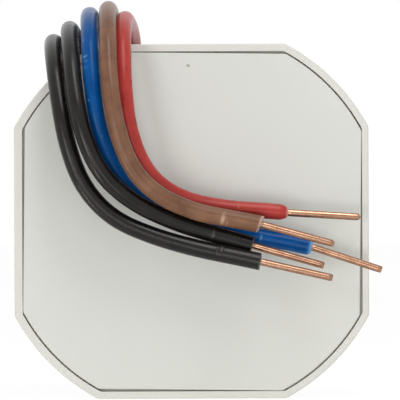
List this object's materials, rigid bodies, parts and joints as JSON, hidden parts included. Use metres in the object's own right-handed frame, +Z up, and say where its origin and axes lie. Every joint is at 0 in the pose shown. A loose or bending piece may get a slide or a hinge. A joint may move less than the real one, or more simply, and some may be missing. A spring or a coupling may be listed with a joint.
{
  "type": "impulse relay",
  "caption": "Flush impulse relay for a round wall box: flat square case with chamfered corners, snap-in cover, and insulated solid-core leads with stripped ends.",
  "frame": {"origin": "middle of the bottom edge face of the case, half way through its depth", "axes": "+X to the right across the cover, +Z up, +Y from the cover to the face that the leads leave by, so the cover faces -Y"},
  "size_m": [0.0507, 0.0446, 0.0554],
  "materials": {
    "case_plastic": "light grey moulded plastic with a fine grain",
    "cover_plastic": "light grey moulded plastic with a fine grain",
    "label_film": "blank silver-grey film label",
    "board_laminate": "green solder mask over glass laminate",
    "solder": "bright tin solder",
    "sealant": "white elastic sealant",
    "black_insulation": "soft black wire insulation",
    "blue_insulation": "blue wire insulation",
    "brown_insulation": "brown wire insulation",
    "red_insulation": "red wire insulation",
    "copper": "bare drawn copper",
    "relay_housing": "black relay housing",
    "relay_plastic": "ivory relay plastic",
    "winding": "enamelled copper wire, wound in layers",
    "magnet_iron": "nickel-plated soft iron",
    "spring_copper": "spring bronze strip",
    "terminal_metal": "tinned brass",
    "contact_silver": "silver alloy",
    "film_box": "yellow moulded box",
    "can_sleeve": "dark printed-free sleeve over an aluminium can",
    "bung_rubber": "black rubber",
    "black_epoxy": "black moulding compound",
    "resistor_coat": "grey-green resistor coating",
    "varistor_coat": "blue dipped coating",
    "diode_glass": "orange diode glass",
    "chip_ceramic": "tan chip ceramic",
    "chip_black": "black resistor glaze"
  },
  "bodies": {
    "base": {"case": "case_plastic", "rear_cover": "cover_plastic", "rating_label": "label_film", "circuit_board": "board_laminate", "solder_joints": "solder", "lead_seal": "sealant", "relay_cover": "relay_housing", "relay_base": "relay_plastic", "relay_bobbin": "relay_plastic", "relay_winding": "winding", "relay_core": "magnet_iron", "relay_yoke": "magnet_iron", "fixed_contact_rivet": "contact_silver", "moving_contact_terminal": "terminal_metal", "fixed_contact_terminal": "terminal_metal", "coil_terminals": "terminal_metal", "film_capacitor": "film_box", "electrolytic_can": "can_sleeve", "electrolytic_bung": "bung_rubber", "bridge_rectifier": "black_epoxy", "fusible_resistor": "resistor_coat", "zener_diode": "diode_glass", "varistor": "varistor_coat", "driver_transistor": "black_epoxy", "component_wires": "terminal_metal", "microcontroller": "black_epoxy", "microcontroller_legs": "terminal_metal", "chip_resistors": "chip_black", "chip_capacitors": "chip_ceramic", "chip_end_caps": "solder", "lead_black_1": "black_insulation", "lead_root_black_1": "black_insulation", "conductor_black_1": "copper", "lead_black_2": "black_insulation", "lead_root_black_2": "black_insulation", "conductor_black_2": "copper", "lead_blue": "blue_insulation", "lead_root_blue": "blue_insulation", "conductor_blue": "copper", "lead_brown": "brown_insulation", "lead_root_brown": "brown_insulation", "conductor_brown": "copper", "lead_red": "red_insulation", "lead_root_red": "red_insulation", "conductor_red": "copper"},
    "armature": {"relay_armature": "magnet_iron", "armature_spring": "spring_copper"},
    "card": {"actuator_card": "relay_plastic"},
    "leaf": {"contact_leaf": "spring_copper", "moving_contact_rivet": "contact_silver"}
  },
  "joints": [
    {"name": "card_slide", "type": "slide", "parent": "base", "child": "card", "axis": [1, 0, 0], "range_m": [0, 0.000968]},
    {"name": "armature_hinge", "type": "hinge", "parent": "base", "child": "armature", "pos_m": [-0.0112, -0.0044, 0.01135], "axis": [0, 0, -1], "range_deg": [0, 5.01], "stiffness_Nm_per_rad": 0.02},
    {"name": "contact_leaf_hinge", "type": "hinge", "parent": "base", "child": "leaf", "pos_m": [0.00795, -0.00355, 0.01135], "axis": [0, 0, -1], "range_deg": [0, 5.45]}
  ],
  "couplings": [
    {"joint": "armature_hinge", "follows": "card_slide", "rad_per_m": 90.267},
    {"joint": "contact_leaf_hinge", "follows": "card_slide", "rad_per_m": 98.039}
  ]
}
